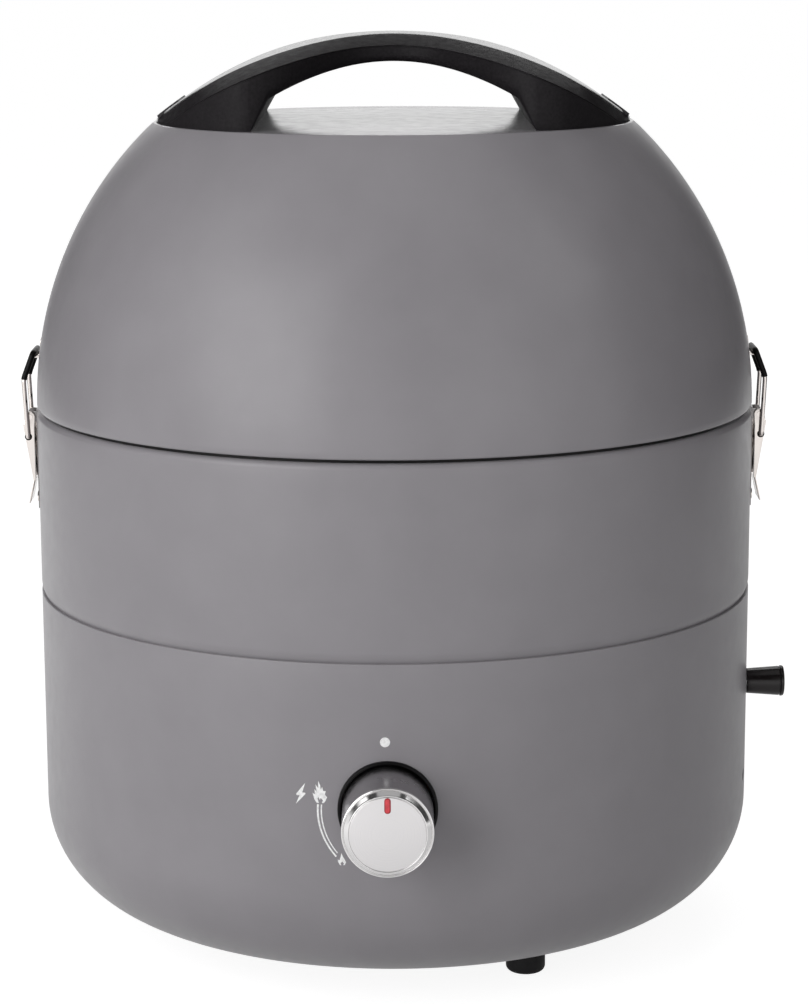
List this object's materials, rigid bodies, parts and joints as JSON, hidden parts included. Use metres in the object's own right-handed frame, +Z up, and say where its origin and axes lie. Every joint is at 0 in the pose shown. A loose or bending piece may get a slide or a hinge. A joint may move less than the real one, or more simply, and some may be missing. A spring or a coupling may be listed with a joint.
{
  "type": "tabletop gas grill",
  "caption": "Round tabletop gas grill with a domed lift-off lid, carrying handle, side draw latches, a front control knob, and a burner and cartridge bay inside.",
  "frame": {"origin": "on the body's axis at table level, under the middle of the three feet", "axes": "+Z up along the body's axis, -Y towards the control knob at the front, +X towards the pull knob"},
  "size_m": [0.3457, 0.3532, 0.4028],
  "materials": {
    "grey_paint": "satin",
    "black_plastic": "fine grain",
    "grey_plastic": "matte",
    "rubber": "matte",
    "bright_steel": "polished",
    "knob_metal": "brushed",
    "red_mark": "gloss",
    "steel": "plain",
    "brass": "plain",
    "copper": "plain",
    "cast_iron": "matte",
    "aluminium": "plain",
    "ceramic": "glazed"
  },
  "bodies": {
    "base": {"base_shell": "grey_paint", "ring_shell": "grey_paint", "knob_bezel": "black_plastic", "rod_bush": "black_plastic", "piezo_igniter": "black_plastic", "rubber_feet": "rubber", "ignition_lead": "rubber", "latch_plate_left": "bright_steel", "latch_plate_right": "bright_steel", "latch_pins": "bright_steel", "latch_rivets": "bright_steel", "foot_screws": "steel", "rim_bolts": "steel", "fire_floor": "steel", "burner_posts": "steel", "flame_tamer": "steel", "grate_rests": "steel", "spark_electrode": "steel", "valve_bracket": "steel", "cartridge_cradle": "steel", "carriage_guides": "steel", "door_hinge_leaf": "steel", "door_hinge_pin": "steel", "gas_jet": "brass", "valve_body": "brass", "valve_cap": "brass", "burner_pipe": "copper", "supply_pipe": "copper", "burner_cap": "cast_iron", "drip_tray": "aluminium", "burner_head": "aluminium", "venturi_tube": "aluminium", "regulator": "aluminium", "spark_insulator": "ceramic"},
    "lid": {"lid_shell": "grey_paint", "lid_band": "steel", "lid_handle": "black_plastic", "handle_end_caps": "grey_plastic", "handle_screws": "steel", "handle_washers": "steel", "keeper_left": "bright_steel", "keeper_right": "bright_steel", "keeper_rivets": "bright_steel"},
    "grate": {"grill_grate": "cast_iron"},
    "left_lever": {"latch_lever_left": "bright_steel"},
    "right_lever": {"latch_lever_right": "bright_steel"},
    "left_bail": {"latch_bail_left": "bright_steel"},
    "right_bail": {"latch_bail_right": "bright_steel"},
    "valve": {"valve_plug": "brass"},
    "knob": {"knob": "knob_metal", "knob_face": "knob_metal", "knob_pointer": "red_mark", "valve_stem": "steel"},
    "cartridge_lock": {"lock_carriage": "steel", "pull_rod": "steel", "pull_knob": "black_plastic"},
    "door": {"cartridge_door": "grey_paint", "door_knob": "black_plastic"}
  },
  "joints": [
    {"name": "lid_lift", "type": "slide", "parent": "base", "child": "lid", "axis": [0, 0, 1], "range_m": [0, 0.25]},
    {"name": "grate_lift", "type": "slide", "parent": "base", "child": "grate", "axis": [0, 0, 1], "range_m": [0, 0.045]},
    {"name": "left_latch", "type": "hinge", "parent": "base", "child": "left_lever", "pos_m": [-0.1638, 0, 0.233], "axis": [0, 1, 0], "range_deg": [0, 120]},
    {"name": "left_bail_swing", "type": "hinge", "parent": "left_lever", "child": "left_bail", "pos_m": [-0.1646, 0, 0.224], "axis": [0, 1, 0], "range_deg": [-146, 0]},
    {"name": "right_latch", "type": "hinge", "parent": "base", "child": "right_lever", "pos_m": [0.1638, 0, 0.233], "axis": [0, -1, 0], "range_deg": [0, 120]},
    {"name": "right_bail_swing", "type": "hinge", "parent": "right_lever", "child": "right_bail", "pos_m": [0.1646, 0, 0.224], "axis": [0, -1, 0], "range_deg": [-146, 0]},
    {"name": "knob_turn", "type": "hinge", "parent": "base", "child": "valve", "pos_m": [-0.0034, -0.13, 0.0965], "axis": [0, -1, 0], "range_deg": [0, 138]},
    {"name": "knob_push", "type": "slide", "parent": "valve", "child": "knob", "axis": [0, 1, 0], "range_m": [0, 0.003], "stiffness_N_per_m": 800},
    {"name": "lock_pull", "type": "slide", "parent": "base", "child": "cartridge_lock", "axis": [1, 0, 0], "range_m": [0, 0.012]},
    {"name": "door_swing", "type": "hinge", "parent": "base", "child": "door", "pos_m": [0.10893, 0.12098, 0.097], "axis": [0, 0, -1], "range_deg": [0, 110]}
  ],
  "couplings": [
    {"joint": "left_bail_swing", "follows": "left_latch", "ratio": -1.2},
    {"joint": "right_bail_swing", "follows": "right_latch", "ratio": -1.2}
  ]
}
